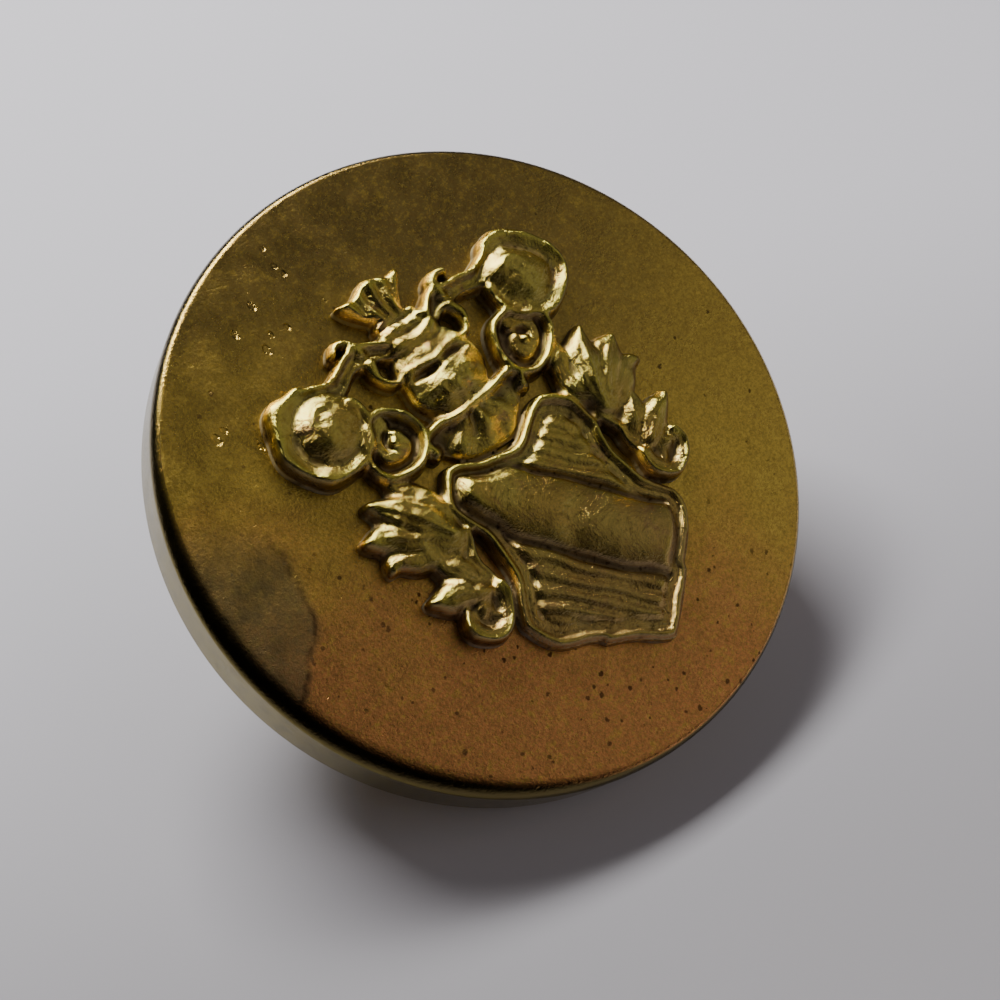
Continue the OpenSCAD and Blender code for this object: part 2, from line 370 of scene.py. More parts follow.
def add_shield():
    """Shield with a lipped border, fine ribs and a plain slanting band, the bend, over them."""
    distance = polygon_distance(shield_outline(), warp_x, warp_y)
    inside = -distance
    lip = dome((inside - 0.13) / 0.14, 0.6)
    border = WALL_H + (0.26 - 0.12 * soft_step(-warp_y, 0.5, 3.5)) * lip
    step = 0.36 + 0.05 * dome((inside - 0.4) / 0.06)
    field_dome = 0.05 * dome(warp_x / 2.4)
    angle = math.radians(BEND_ANGLE)
    off_x, off_y = warp_x - BEND_MIDDLE[0], warp_y - BEND_MIDDLE[1]
    over = off_x * math.sin(angle) + off_y * math.cos(angle)
    along = off_x * math.cos(angle) - off_y * math.sin(angle)
    rib_phase = (over - BEND_HALF + 0.02 * np.sin(2 * warp_x)) / RIB_PITCH
    rib_height = 0.085 + 0.02 * np.sin(3.1 * along)
    ribs = 0.31 + field_dome + rib_height * np.abs(np.sin(math.pi * rib_phase)) ** 0.8
    pillow = dome(over / BEND_HALF, 0.6)
    pillow *= 1 - 0.25 * np.exp(-(along / 0.35) ** 2)
    bend = 0.28 + field_dome + 0.3 * pillow
    bend = soft_max(bend, np.full_like(bend, 0.34), 0.04)
    field = np.where(np.abs(over) < BEND_HALF, bend, ribs)
    groove = 0.12 * np.exp(-((np.abs(over) - BEND_HALF) / 0.05) ** 2)
    field = field - groove
    rim_fade = soft_step(inside, BORDER_WIDTH, 0.62)
    field = np.maximum(step * (1 - rim_fade), field * (0.6 + 0.4 * rim_fade))
    surface = np.where(inside < BORDER_WIDTH, border, field)
    surface = soft_max(border * (inside < BORDER_WIDTH), surface, 0.02)
    raise_to((slice(None), slice(None)), np.where(inside > 0, surface, 0), distance, 0.02)


def add_helm():
    """Barrel helm with a brow ridge, a sight slit, a nose ridge and breathing holes."""
    centre_y, half_w, half_h = 2.22, 1.08, 1.12
    area = window([(0, centre_y)], 1.5)
    x, y = warp_x[area], warp_y[area] - centre_y
    share = (np.abs(x / half_w) ** 2.3 + np.abs(y / half_h) ** 2.3) ** (1 / 2.3)
    body = dome(share, 0.45)
    surface = WALL_H + (RELIEF - 0.16 - WALL_H) * body
    visor = 0.12 * np.exp(-((y + 0.35 + 0.25 * x * x) / 0.34) ** 2)
    visor = visor * np.exp(-(x / 0.62) ** 4)
    brow = 0.07 * np.exp(-((y - 0.36 - 0.1 * x * x) / 0.07) ** 2)
    slit = 0.2 * np.exp(-((y - 0.2 + 0.06 * x * x) / 0.055) ** 2) * (np.abs(x) < 0.82)
    nose = 0.05 * np.exp(-(x / 0.08) ** 2) * (y < 0.3)
    holes = np.zeros_like(x)
    for i in range(3):
        for side in (-1, 1):
            hx, hy = side * (0.26 + 0.2 * i), -0.32 - 0.05 * i
            holes += 0.1 * np.exp(-(((x - hx) / 0.055) ** 2 + ((y - hy) / 0.075) ** 2))
    surface = surface + (visor + brow + nose - slit - holes) * body
    raise_to(area, np.minimum(surface, RELIEF), (share - 1) * half_h)


def add_crest():
    """Fluted fan on a twisted wreath, above a plain neck."""
    round_bar([(-0.5, 3.2, 0.26), (0.5, 3.2, 0.26)], 0.6)
    area, share, half, along, hand = across([(-0.56, 3.56, 0.19), (0.56, 3.56, 0.19)], 1)
    twist = 0.5 + 0.5 * np.sin(2 * math.pi * (along * 4.5 + 0.6 * hand * share))
    body = dome(share, 0.5)
    raise_to(area, WALL_H + (0.36 * (0.7 + 0.3 * twist ** 0.6)) * body, (share - 1) * half)
    round_bar([(-0.5, 3.83, 0.12), (0.5, 3.83, 0.12)], 0.5)
    root_y = 2.6
    area = window([(0, 4.3)], 1.3)
    x, y = warp_x[area], warp_y[area]
    angle = np.degrees(np.arctan2(x, y - root_y))
    radius = np.hypot(x, y - root_y)
    spread = 17.5 + 6.5 * soft_step(radius, 1.3, 2.3)
    top = 2.3 + 0.05 * np.cos(np.radians(angle * 15))
    edge = np.maximum.reduce([(np.abs(angle) - spread) * 0.035, radius - top, 1.15 - radius])
    share = np.clip(-edge / 0.22, 0, 1)
    body = (1 - (1 - share) ** 2) ** 0.5
    comb = 0.5 + 0.5 * np.cos(np.radians(angle * 360 / 9.2))
    lip = 0.1 * np.exp(-((radius - 2.2) / 0.07) ** 2)
    surface = WALL_H + body * (0.2 + 0.1 * comb * (1 - lip * 6) + lip + 0.06 * (radius - 1.3))
    raise_to(area, surface, edge)


def add_gorget():
    """Crescent neck guard between the helm and the shield, with a lip and curled ends."""
    centre_y, half_w, half_h = 1.18, 1.34, 1.08
    area = window([(0, centre_y)], 1.7)
    x, y = warp_x[area], warp_y[area] - centre_y
    share = np.hypot(x / half_w, y / half_h)
    edge = np.maximum((share - 1) * half_h, y - 0.05)
    body = dome(share, 0.5)
    fold = 0.05 * np.cos(9 * np.arctan2(x, -y + 0.35))
    bowl = 0.1 * np.exp(-((x / 0.5) ** 2 + ((y + 0.45) / 0.3) ** 2))
    raise_to(area, WALL_H + body * (0.16 + bowl + fold), edge)
    lip = [(-1.42, 0.9, 0.1), (-1.45, 1.16, 0.14), (-1.0, 1.3, 0.14), (0, 1.22, 0.13),
           (1.0, 1.3, 0.14), (1.45, 1.16, 0.14), (1.42, 0.9, 0.1)]
    round_bar(smooth_line(lip), 0.58)
    for side in (-1, 1):
        ball(1.38, 0.82, 0.2, 0.5, side)


def add_upper_mantling(side):
    """Scrollwork beside the crest: a grooved arm, tendrils, a leaf and a scroll round a boss."""
    arm = [(0.45, 3.1, 0.2), (0.95, 3.5, 0.29), (1.6, 3.5, 0.27),
           (2.25, 3.32, 0.27), (2.8, 3.52, 0.26), (3.3, 3.6, 0.2)]
    ribbon(smooth_line(arm), 0.56, side, groove=0.45, lean=0.25)
    tendrils = (
        (0.64, [(0.6, 3.42, 0.08), (1.1, 3.76, 0.1), (1.7, 3.7, 0.09), (2.3, 3.52, 0.09),
                (2.9, 3.74, 0.1)]),
        (0.6, [(1.25, 3.6, 0.2), (1.32, 3.9, 0.17), (1.55, 4.04, 0.14), (1.78, 3.93, 0.1)]),
        (0.54, [(1.2, 3.3, 0.2), (1.32, 2.95, 0.17), (1.2, 2.66, 0.13), (1.0, 2.62, 0.08)]),
    )
    for top, points in tendrils:
        round_bar(smooth_line(points), top, side)
    scroll = (3.15, 2.72)
    ribbon(spiral(scroll, 0.96, 0.84, 96, -285, 0.33, 0.24), 0.58, side, groove=0.1, lean=0.3)
    round_bar(spiral(scroll, 1.08, 1.06, 60, -150, 0.07, 0.06), 0.54, side)
    leaf = [(2.9, 3.66, 0.2), (3.35, 3.85, 0.19), (3.75, 3.78, 0.14), (4.08, 3.5, 0.07)]
    lobe(smooth_line(leaf), 0.58, side)
    ball(3.1, 2.7, 0.85, 0.36, side, 0.3)
    ball(3.06, 2.76, 0.96, RELIEF - 0.02, side, 0.6)
    round_bar(spiral((3.1, 2.95), 0.3, 0.2, 150, -260, 0.1, 0.06), RELIEF, side, foot=0.6)


def add_inner_scroll(side):
    """Ring with a coil in it, beside the helm, on a low round plate."""
    x, y, radius = 2.08, 1.6, 0.86
    area = window([(side * x, y)], 1.1)
    share = np.hypot(warp_x[area] - side * x, warp_y[area] - y) / radius
    raise_to(area, np.full(share.shape, 0.3), (share - 1) * radius)
    round_bar(spiral((x, y), 0.78, 0.72, 60, -360, 0.15, 0.13), 0.6, side)
    ribbon(spiral((2.08, 1.58), 0.46, 0.2, 100, -330, 0.17, 0.12), 0.52, side, groove=0.25)
    ball(2.1, 1.55, 0.16, 0.56, side)


def add_leaves(side):
    """Leaf of four lobes at the shield's shoulder, then a stem down its side with two lobes."""
    for top, points in (
        (0.56, [(2.4, -0.75, 0.25), (2.35, 0.0, 0.36), (2.52, 0.55, 0.33), (2.75, 0.95, 0.15)]),
        (0.72, [(2.5, -0.8, 0.3), (2.8, 0.0, 0.5), (3.12, 0.5, 0.42), (3.45, 0.9, 0.15)]),
        (0.66, [(2.6, -0.9, 0.3), (3.2, -0.2, 0.48), (3.6, 0.15, 0.38), (4.02, 0.4, 0.13)]),
        (0.56, [(2.7, -1.0, 0.3), (3.35, -0.6, 0.38), (3.8, -0.35, 0.28), (4.1, -0.45, 0.12)]),
    ):
        lobe(smooth_line(points), top, side)
    stem = [(2.4, -0.9, 0.3), (2.65, -1.4, 0.34), (2.6, -1.95, 0.32), (2.75, -2.5, 0.28)]
    ribbon(smooth_line(stem), 0.52, side)
    for top, points in (
        (0.56, [(2.65, -1.9, 0.25), (2.95, -1.35, 0.38), (3.25, -0.95, 0.15)]),
        (0.66, [(2.8, -2.1, 0.25), (3.35, -1.75, 0.42), (3.9, -1.5, 0.15)]),
    ):
        lobe(smooth_line(points), top, side)


def add_foot_scroll(side):
    """Small scroll at the stem's foot."""
    ball(3.05, -2.5, 0.6, 0.42, side, 0.7)
    ribbon(spiral((3.05, -2.45), 0.6, 0.42, 165, 215, 0.2, 0.2), 0.58, side, groove=0.2, lean=-0.2)
    ball(3.12, -2.34, 0.26, 0.56, side)


def undulation(scale, seed):
    """Smooth noise over the grid, about one swell per scale in mm, between -1 and 1."""
    random = np.random.default_rng(seed)
    cells = [int((high - low) / scale) + 4 for low, high in zip(GRID_LO, GRID_HI)]
    knots = random.uniform(-1, 1, cells)
    u, v = (plan_x - grid_x[0]) / scale, (plan_y - grid_y[0]) / scale
    i, j = u.astype(int), v.astype(int)
    fu, fv = soft_step(u - i, 0, 1), soft_step(v - j, 0, 1)
    low = knots[i, j] * (1 - fu) + knots[i + 1, j] * fu
    high = knots[i, j + 1] * (1 - fu) + knots[i + 1, j + 1] * fu
    return low * (1 - fv) + high * fv


def blurred(field, reach):
    """Box blur of the field, run twice, over a reach in mm."""
    n = max(1, int(reach / GRID))
    for _ in range(2):
        for axis in (0, 1):
            padded = np.pad(field, [(n + 1, n) if a == axis else (0, 0) for a in (0, 1)], "edge")
            total = np.cumsum(padded, axis)
            size = field.shape[axis]
            upper = np.take(total, range(2 * n + 1, 2 * n + 1 + size), axis)
            lower = np.take(total, range(0, size), axis)
            field = (upper - lower) / (2 * n + 1)
    return field


def build_relief():
    """Raises every ornament out of the grid, the lower ones first."""
    add_shield()
    for side in (-1, 1):
        add_leaves(side)
        add_foot_scroll(side)
        add_inner_scroll(side)
        add_upper_mantling(side)
    add_gorget()
    add_helm()
    add_crest()


def without_pinches(cell):
    """Fills in grid cells until no two of them touch only at a corner."""
    for _ in range(6):
        quarters = (cell[:-1, :-1], cell[1:, :-1], cell[:-1, 1:], cell[1:, 1:])
        a, b, c, d = quarters
        pinch = (a & d & ~b & ~c) | (b & c & ~a & ~d)
        for quarter in quarters:
            quarter |= pinch
    return cell


def rim_edges(cell, index):
    """Outer edges of the used cells: pairs of vertex numbers that run the way the cells turn."""
    margin = np.pad(cell, 1)
    pairs = []
    for step, start, end in (((0, -1), (0, 0), (1, 0)), ((1, 0), (1, 0), (1, 1)),
                             ((0, 1), (1, 1), (0, 1)), ((-1, 0), (0, 1), (0, 0))):
        rows, columns = (slice(1 + d, 1 + d + n) for d, n in zip(step, cell.shape))
        i, j = np.nonzero(cell & ~margin[rows, columns])
        ends = [index[i + di, j + dj] for di, dj in (start, end)]
        pairs.append(np.stack(ends, 1))
    return np.vstack(pairs)


def struck_surface():
    """Height of the relief, whether a point is above (1) or below (-1) what is round it, and how
    much it is a steep flank that doesn't face down the emblem."""
    calm = soft_step(-polygon_distance(shield_outline(), warp_x, warp_y), 0.0, 0.2)
    lumps = 0.05 * undulation(0.42, 3) + 0.025 * undulation(0.19, 4) - 0.02
    surface = height + lumps * (1 - 0.75 * calm)
    surface = np.clip(blurred(surface, 0.045), WALL_H - 0.02, RELIEF)
    hollow = np.clip((surface - blurred(surface, 0.22)) / 0.16, -1, 1)
    rise_x, rise_y = np.gradient(blurred(surface, 0.03), GRID)
    steepness = np.hypot(rise_x, rise_y)
    facing = -rise_y / np.maximum(steepness, 0.01)
    # Mask of the painted shade: steep slopes that don't face up the emblem, towards the window
    # light.
    flank = soft_step(steepness, 0.4, 1.0) * (1 - soft_step(facing, 0.0, 0.6))
    return surface, hollow, flank


def relief_mesh(name):
    """Closed mesh: the struck top, drawn in to the outline, a steep wall and a flat underside."""
    surface, hollow, flank = struck_surface()
    edge = blurred(outline, 0.03)
    slope_x, slope_y = np.gradient(edge, GRID)
    slope = np.sqrt(np.maximum(slope_x ** 2 + slope_y ** 2, 0.2))
    inside = edge < 0
    cell = without_pinches(inside[:-1, :-1] | inside[1:, :-1] | inside[:-1, 1:] | inside[1:, 1:])
    cells_round = np.zeros(inside.shape, int)
    for di in (0, 1):
        for dj in (0, 1):
            cells_round[di:di + cell.shape[0], dj:dj + cell.shape[1]] += cell
    used = cells_round > 0
    shift = np.where(inside, 0, np.clip(edge, 0, 1.5 * GRID) / slope)
    top_x, top_y = plan_x - shift * slope_x / slope, plan_y - shift * slope_y / slope
    spread = np.where(cells_round < 4, FOOT_SPREAD, 0) / slope
    index = -np.ones(inside.shape, int)
    index[used] = np.arange(used.sum())
    count = int(used.sum())
    top = np.stack([top_x[used] + EMBLEM_X, top_y[used], surface[used] + FACE_Z], 1)
    under = top + np.stack([(spread * slope_x)[used], (spread * slope_y)[used], np.zeros(count)], 1)
    under[:, 2] = FACE_Z
    i, j = np.nonzero(cell)
    quads = np.stack([index[i, j], index[i + 1, j], index[i + 1, j + 1], index[i, j + 1]], 1)
    start, end = rim_edges(cell, index).T
    walls = np.stack([end, start, start + count, end + count], 1)
    faces = np.vstack([quads, walls, quads[:, ::-1] + count])
    mesh = new_mesh(name, (np.vstack([top, under]) * MM).tolist(), faces.tolist())
    for key, tone in (("hollow", hollow), ("flank", flank)):
        values = mesh.attributes.new(key, "FLOAT", "POINT")
        values.data.foreach_set("value", np.tile(tone[used].astype(np.float32), 2))
    return mesh


# ---- pieces
def shell_profile():
    """Section of the face shell: flat face, shoulder of the full width, straight side, hem."""
    outer = BUTTON_R - SHOULDER_R
    hem_middle = BUTTON_R - HEM_R
    hem_end = BUTTON_R - HEM_WIDTH
    inner = BUTTON_R - SHEET
    tip = SHEET / 2
    points = [(0, FACE_Z - SHEET), (outer - 0.1, FACE_Z - SHEET)]
    points += arc((outer, FACE_Z - SHOULDER_R), SHOULDER_R - SHEET, 90, 0, 4)
    points += [(inner, RIM_Z + HEM_R + 0.05)]
    points += arc((inner - CREASE_R, RIM_Z + SHEET + CREASE_R), CREASE_R, 0, -90, 4)
    points += arc((hem_end + tip, RIM_Z + tip), tip, 90, 270, 8)
    points += [(hem_middle - 0.05, RIM_Z)]
    points += arc((hem_middle, RIM_Z + HEM_R), HEM_R, -90, 0, 10)
    points += [(BUTTON_R, RIM_Z + HEM_R + 0.05), (BUTTON_R, FACE_Z - SHOULDER_R - 0.05)]
    eased = BUTTON_R - SHOULDER_WIDTH
    stretch = SHOULDER_WIDTH / SHOULDER_R
    points += arc((eased, FACE_Z - SHOULDER_R), SHOULDER_R, 0, 90, 16, stretch)
    points += [(eased - 0.03, FACE_Z), (eased - 0.2, FACE_Z), (0, FACE_Z)]
    return points


def cut_box(piece, low, high):
    """Cuts a box-shaped hole, given by two corners in mm, out of a piece."""
    mesh = bpy.data.meshes.new("cutter")
    work = bmesh.new()
    bmesh.ops.create_cube(work, size=1)
    for v in work.verts:
        v.co = Vector([((a + b) / 2 + c * (b - a)) * MM for a, b, c in zip(low, high, v.co)])
    work.to_mesh(mesh)
    work.free()
    cutter = link("cutter", mesh)
    cut = piece.modifiers.new("cut", "BOOLEAN")
    cut.operation = "DIFFERENCE"
    cut.solver = "EXACT"
    cut.object = cutter
    depsgraph = bpy.context.evaluated_depsgraph_get()
    result = bpy.data.meshes.new_from_object(piece.evaluated_get(depsgraph))
    piece.modifiers.clear()
    piece.data = result
    bpy.data.objects.remove(cutter)


def tighten_shoulder(mesh):
    """Leaves the shoulder wide and worn on one side, and draws it in to an even round elsewhere."""
    for v in mesh.vertices:
        drop = (v.co.z / MM - FACE_Z + SHOULDER_R) / SHOULDER_R
        if drop < 0:
            continue
        reach = math.sqrt(max(1 - drop * drop, 0))
        r = math.hypot(v.co.x, v.co.y) / MM
        worn = BUTTON_R - SHOULDER_WIDTH * (1 - reach)
        if abs(r - worn) > 0.005:
            continue
        turn = Vector(v.co[:2]).angle(WORN_SIDE)
        share = 1 - math.exp(-(turn / WORN_ARC) ** 4)
        fresh = BUTTON_R - FRESH_WIDTH * (1 - reach)
        scale = (worn + (fresh - worn) * share) / r
        v.co.x *= scale
        v.co.y *= scale


def make_shell():
    """Face shell with a slot for each of the emblem's lugs."""
    shell = lathe("gilt_shell", shell_profile(), 256)
    tighten_shoulder(shell.data)
    for node in ("emblem_lug_upper", "emblem_lug_lower"):
        low, high = (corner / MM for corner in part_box(node))
        bend = min(abs(low.y), abs(high.y))
        y = math.copysign(bend + LUG_T / 2, low.y + high.y)
        half = LUG_T / 2 + SLOT_GAP
        slot_lo = (low.x - SLOT_GAP, y - half, FACE_Z - 1)
        slot_hi = (high.x + SLOT_GAP, y + half, FACE_Z + 1)
        cut_box(shell, slot_lo, slot_hi)
    return shell


def back_profile():
    """Section of the dished back: flat land under the hem, slope, and pierced middle."""
    land, middle = RIM_Z + SHEET, RIM_Z + SHEET - PLATE_DISH
    edge = plate_hi.x
    hole = BARREL_R + 0.005
    foot = DISH_R + DISH_SLOPE
    lower = [(hole, middle), (DISH_R - 0.12, middle), (DISH_R, middle + 0.025)]
    lower += [(foot - 0.05, land - 0.02), (foot + 0.1, land)]
    lower += [(edge - CREASE_R, land), (edge, land + CREASE_R)]
    upper = [(r, z + PLATE_T) for r, z in reversed(lower[:-2])]
    top = land + PLATE_T
    return lower + [(edge, top - CREASE_R), (edge - CREASE_R, top)] + upper


def make_back():
    """Dished back plate."""
    return lathe("dished_back", back_profile(), 192)


def make_collar():
    """Eyelet with a rolled flange under the back and a thin barrel through it."""
    flange_z = collar_lo.z
    flange_t = RIM_Z + SHEET - PLATE_DISH - flange_z
    outer = collar_hi.x
    lip = flange_t / 2
    points = [(BARREL_HOLE_R + 0.1, flange_z)]
    points += [(outer - lip - 0.2, flange_z + 0.03), (outer - lip - 0.06, flange_z)]
    points += arc((outer - lip, flange_z + lip), lip, -90, 90, 10)
    points += [(BARREL_R, flange_z + flange_t)]
    points += [(BARREL_R, collar_hi.z), (BARREL_HOLE_R, collar_hi.z)]
    points += arc((BARREL_HOLE_R + 0.1, flange_z + 0.1), 0.1, 180, 270, 5)[:-1]
    return lathe("eyelet_collar", points, 128)


def shank_path():
    """Middle line of the wire in the YZ plane, with its half thickness, from end to end."""
    fillet_r = 0.5
    fillet_y = FOOT_Y + fillet_r
    fillet_z = math.sqrt((EYE_MID_R + fillet_r) ** 2 - fillet_y ** 2)
    opening = math.degrees(math.asin(fillet_y / (EYE_MID_R + fillet_r)))
    ring = arc((0, 0), EYE_MID_R, -90, 90 - opening, 48)
    half = [(y, z, WIRE_R) for y, z in ring]
    turn = arc((fillet_y, fillet_z), fillet_r, 270 - opening, 180, 8)
    half += [(y, z, WIRE_R) for y, z in turn[1:]]
    half += [(FOOT_Y, FOOT_Z[0], WIRE_R), (FOOT_Y, FOOT_Z[1], WIRE_R * 0.97)]
    flat = (loop_hi.z - CLENCH_Z) / 2
    bend_y, bend_z = FOOT_Y + BEND_R, loop_hi.z - flat - BEND_R
    for step, (y, z) in enumerate(arc((bend_y, bend_z), BEND_R, 180, 90, 6)):
        half.append((y, z, WIRE_R + (flat * 1.02 - WIRE_R) * min(1, 0.4 + step / 8)))
    end_z = bend_z + BEND_R
    half += [(CLENCH_Y[0], end_z, flat), (CLENCH_Y[1], end_z, flat)]
    half += [(CLENCH_Y[2], end_z - 0.02, flat * 0.8)]
    other = [(-y, z, t) for y, z, t in reversed(half[1:])]
    return np.array(other + half)


def make_shank():
    """Round wire bent to an eye, with both ends pushed through the eyelet and clenched."""
    path = shank_path()
    sides = 32
    verts, faces = [], []
    count = len(path)
    for i in range(count):
        before, after = path[max(i - 1, 0)], path[min(i + 1, count - 1)]
        ty, tz = after[0] - before[0], after[1] - before[1]
        size = math.hypot(ty, tz)
        ny, nz = -tz / size, ty / size
        y0, z0, thick = path[i]
        for k in range(sides):
            a = 2 * math.pi * k / sides
            x, off = WIRE_R * math.cos(a), thick * math.sin(a)
            y, z = y0 + off * ny, z0 + off * nz
            r = math.hypot(y, z)
            if r < EYE_R and z0 < EYE_MID_R:
                # Pressed flat inside the eye, so that the bore stays round.
                y, z = y * EYE_R / r, z * EYE_R / r
            # The width wavers by 1%, inside the CAD box.
            x = x * (1 + 0.01 * math.sin(9 * y0 + 4 * z0)) * 0.99
            verts.append((x * MM, y * MM, min(max(z, loop_lo.z), loop_hi.z) * MM))
    for i in range(count - 1):
        for k in range(sides):
            n = (k + 1) % sides
            faces.append((i * sides + k, i * sides + n, (i + 1) * sides + n, (i + 1) * sides + k))
    faces += [tuple(range(sides)), tuple(range((count - 1) * sides, count * sides))]
    mesh = new_mesh("wire_shank", verts, faces)
    mend(mesh)
    return add_object("wire_shank", mesh)


# ---- colours
OLIVE_GILT = (0.38, 0.27, 0.09)
YELLOW_GILT = (1.0, 0.7, 0.145)
COPPER_GILT = (1.0, 0.42, 0.16)
# Painted dark reflection on the shoulder.
SHOULDER_PAINTED_DARK = (0.13, 0.1, 0.04)
SIDE_BRASS = (0.27, 0.215, 0.045)
SIDE_TARNISH = (0.18, 0.14, 0.03)
TARNISH = (0.34, 0.19, 0.06)
DARK_SPECK = (0.06, 0.035, 0.02)
GREY_FILM = (0.21, 0.18, 0.1)
PALE_GILT = (0.82, 0.67, 0.17)
WARM_GILT = (0.8, 0.57, 0.15)
BRIGHT_GILT = (0.97, 0.88, 0.15)
RUSSET = (0.62, 0.38, 0.17)
ROSE_TINT = (0.6, 0.31, 0.2)
# Painted shade, with grime, for the emblem's hollows and flanks.
SHADE_AND_GRIME = (0.27, 0.19, 0.11)
CUT_EDGE = (0.46, 0.42, 0.33)
CARD_LIGHT = (0.38, 0.28, 0.17)
CARD_DARK = (0.22, 0.15, 0.09)
CARD_FLECK = (0.1, 0.07, 0.05)
FLOOR_COLOUR = (0.61, 0.615, 0.79)
FLOOR_SHADE = (0.34, 0.34, 0.43)

# Brasses of the plain pieces: light and dark colour, roughness and seed.
BRASSES = {
    "back_brass": ((0.55, 0.4, 0.14), (0.36, 0.23, 0.08), 0.34, 31.0),
    "collar_brass": ((0.62, 0.45, 0.17), (0.4, 0.26, 0.09), 0.3, 37.0),
    "wire_brass": ((0.68, 0.51, 0.22), (0.45, 0.31, 0.12), 0.28, 41.0),
    "lug_brass_upper": ((0.7, 0.5, 0.2), (0.45, 0.28, 0.1), 0.35, 51.0),
    "lug_brass_lower": ((0.7, 0.5, 0.2), (0.45, 0.28, 0.1), 0.35, 57.0),
    "washer_brass": ((0.66, 0.5, 0.24), (0.42, 0.28, 0.12), 0.38, 61.0),
}
BRASS_WEAR = 0.5

# Marks on the face, as ellipses: middle x and y, two radii in mm and a turn in degrees.
NICKED = (-2.6, 5.2, 2.6, 1.3, 36)
SMUDGE = (-8.1, 0.8, 2.9, 2.3, 30)
TIDE_WIDTH = 0.12

WINDOW_LIGHT = (1.0, 0.97, 0.8)
FILL_LIGHT = (1.0, 0.86, 0.68)
BACKDROP = (0.62, 0.62, 0.64)
ROOM = (0.065, 0.065, 0.065)
# Direction of a patch, the cosines at which it starts and is full, and its colour.
SKY_PATCHES = (
    ((0.58, -0.22, 0.78), 0.87, 0.975, (0.295, 0.288, 0.26)),
    ((-0.8, -0.35, 0.48), 0.42, 0.56, (0.006, 0.006, 0.006)),
)


# ---- materials
class Nodes:
    """Fills one node tree. A value is a number, a tuple or another node's socket."""

    def __init__(self, tree):
        self.tree = tree

    def add(self, kind, settings=None, **sockets):
        node = self.tree.nodes.new("ShaderNode" + kind)
        for key, value in (settings or {}).items():
            setattr(node, key, value)
        for key, value in sockets.items():
            self.set(node.inputs[key.replace("_", " ")], value)
        return node

    def set(self, socket, value):
        if isinstance(value, bpy.types.NodeSocket):
            self.tree.links.new(value, socket)
        else:
            socket.default_value = value

    def math(self, operation, *values, kind="Math", out="Value"):
        node = self.add(kind, {"operation": operation})
        for socket, value in zip(node.inputs, values):
            self.set(socket, value)
        return node.outputs[out]

    def times(self, a, b):
        return self.math("MULTIPLY", a, b)

    def plus(self, a, b):
        return self.math("ADD", a, b)

    def minus(self, a, b):
        return self.math("SUBTRACT", a, b)

    def vmath(self, operation, *values, out="Vector"):
        return self.math(operation, *values, kind="VectorMath", out=out)

    def dot(self, place, direction):
        return self.vmath("DOT_PRODUCT", place, direction, out="Value")

    def ramp(self, value, start, end, low=0.0, high=1.0):
        """Smooth change from low, where the value is start, to high, where it is end."""
        node = self.add("MapRange", {"interpolation_type": "SMOOTHSTEP"}, Value=value,
                        From_Min=start, From_Max=end, To_Min=low, To_Max=high)
        return node.outputs["Result"]

    def mix(self, share, a, b):
        """Colour between a and b. A share of 1 is all b."""
        node = self.add("Mix", {"data_type": "RGBA"})
        self.set(node.inputs[0], share)
        for key, value in ((6, a), (7, b)):
            if not isinstance(value, bpy.types.NodeSocket):
                value = (*value, 1.0)
            self.set(node.inputs[key], value)
        return node.outputs[2]

    def choose(self, share, first, second, output):
        """Mixes two shaders and links the mix to the tree's output."""
        node = self.add("MixShader")
        for source, socket in zip((share, first.outputs[0], second.outputs[0]), node.inputs):
            self.tree.links.new(source, socket)
        self.tree.links.new(node.outputs["Shader"], self.tree.nodes[output].inputs["Surface"])


class Shader(Nodes):
    """One node material. Textures are sampled at the object's own coordinates, in mm."""

    def __init__(self, name, metallic=1.0, roughness=0.3):
        self.material = bpy.data.materials.new(name)
        self.material.use_nodes = True
        super().__init__(self.material.node_tree)
        self.surface = self.tree.nodes["Principled BSDF"]
        self.surface.inputs["Metallic"].default_value = metallic
        self.surface.inputs["Roughness"].default_value = roughness
        place = self.add("TexCoord")
        self.place = self.vmath("MULTIPLY", place.outputs["Object"], (1 / MM,) * 3)

    def noise(self, scale, detail=2.0, rough=0.5, place=None, seed=0.0):
        where = self.vmath("ADD", place or self.place, (seed, 2 * seed, -seed))
        node = self.add("TexNoise", Vector=where, Scale=scale, Detail=detail, Roughness=rough)
        return node.outputs["Fac"]

    def spots(self, scale, size, seed=0.0, stretch=(1.0, 1.0, 1.0)):
        """Small ragged spots: 1 in a spot's middle, 0 outside, about one per 1/scale mm."""
        ragged = self.times(self.noise(9, 2.0, 0.6, seed=seed), 0.12)
        where = self.vmath("ADD", self.place, (seed, -seed, seed))
        where = self.vmath("ADD", where, ragged)
        where = self.vmath("MULTIPLY", where, stretch)
        cells = self.add("TexVoronoi", Vector=where, Scale=scale)
        chance = self.add("SeparateColor", Color=cells.outputs["Color"])
        radius = self.times(chance.outputs["Red"], size)
        return self.ramp(self.math("DIVIDE", cells.outputs["Distance"], radius), 1.0, 0.6)

    def ellipse(self, x, y, rx, ry, turn, soft=0.5):
        """1 inside a ragged ellipse on the face, fading to 0 outside."""
        a = math.radians(turn)
        local = self.vmath("SUBTRACT", self.place, (x, y, 0))
        u = self.dot(local, (math.cos(a) / rx, math.sin(a) / rx, 0))
        v = self.dot(local, (-math.sin(a) / ry, math.cos(a) / ry, 0))
        radius = self.plus(self.times(u, u), self.times(v, v))
        ragged = self.times(self.minus(self.noise(0.9, 3.0, 0.6, seed=43), 0.5), 0.5)
        radius = self.plus(radius, ragged)
        return self.ramp(radius, 1 + soft, 1 - soft)

    def bump(self, height, strength, distance, normal=None):
        """Bump of a height between 0 and 1, whose full depth is the distance in mm."""
        node = self.add("Bump", Strength=strength, Distance=distance * MM, Height=height)
        if normal is not None:
            self.set(node.inputs["Normal"], normal)
        return node.outputs["Normal"]

    def finish(self, colour=None, roughness=None, normal=None):
        """Links what is given to the surface, and hands back the material."""
        for key, value in (("Base Color", colour), ("Roughness", roughness), ("Normal", normal)):
            if value is not None:
                self.set(self.surface.inputs[key], value)
        return self.material


